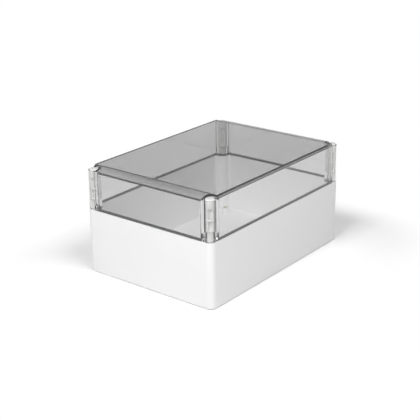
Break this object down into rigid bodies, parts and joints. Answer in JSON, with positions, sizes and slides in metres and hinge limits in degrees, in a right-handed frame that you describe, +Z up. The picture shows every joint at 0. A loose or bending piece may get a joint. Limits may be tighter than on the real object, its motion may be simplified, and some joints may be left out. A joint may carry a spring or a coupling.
{
  "type": "plastic enclosure",
  "caption": "Rectangular wall-mounting plastic enclosure with a deep opaque base and a tall clear screw-down lid with a corner screw in each post.",
  "frame": {"origin": "middle of the underside of the base, on the surface it stands on", "axes": "+X along the long side, +Y along the short side towards the back, +Z up from the base to the lid"},
  "size_m": [0.252, 0.18, 0.1265],
  "materials": {
    "abs_shell": "fine satin, light grey",
    "clear_cover": "polished clear polycarbonate, faintly smoky",
    "seal": "soft foam, dark grey",
    "cover_screw": "natural white polyamide",
    "threaded_brass": "turned and knurled"
  },
  "bodies": {
    "enclosure_base": {"base": "abs_shell", "insert_front_left": "threaded_brass", "insert_front_right": "threaded_brass", "insert_back_right": "threaded_brass", "insert_back_left": "threaded_brass"},
    "cover": {"lid": "clear_cover", "gasket": "seal"},
    "screw_front_left": {"lid_screw_front_left": "cover_screw"},
    "screw_front_right": {"lid_screw_front_right": "cover_screw"},
    "screw_back_right": {"lid_screw_back_right": "cover_screw"},
    "screw_back_left": {"lid_screw_back_left": "cover_screw"}
  },
  "joints": [
    {"name": "lid_lift", "type": "slide", "parent": "enclosure_base", "child": "cover", "axis": [0, 0, 1], "range_m": [0, 0.08]},
    {"name": "screw_turn_front_left", "type": "hinge", "parent": "cover", "child": "screw_front_left", "pos_m": [-0.1186, -0.0826, 0.088], "axis": [0, 0, 1], "range_deg": [0, 90]},
    {"name": "screw_turn_front_right", "type": "hinge", "parent": "cover", "child": "screw_front_right", "pos_m": [0.1186, -0.0826, 0.088], "axis": [0, 0, 1], "range_deg": [0, 90]},
    {"name": "screw_turn_back_right", "type": "hinge", "parent": "cover", "child": "screw_back_right", "pos_m": [0.1186, 0.0826, 0.088], "axis": [0, 0, 1], "range_deg": [0, 90]},
    {"name": "screw_turn_back_left", "type": "hinge", "parent": "cover", "child": "screw_back_left", "pos_m": [-0.1186, 0.0826, 0.088], "axis": [0, 0, 1], "range_deg": [0, 90]}
  ]
}
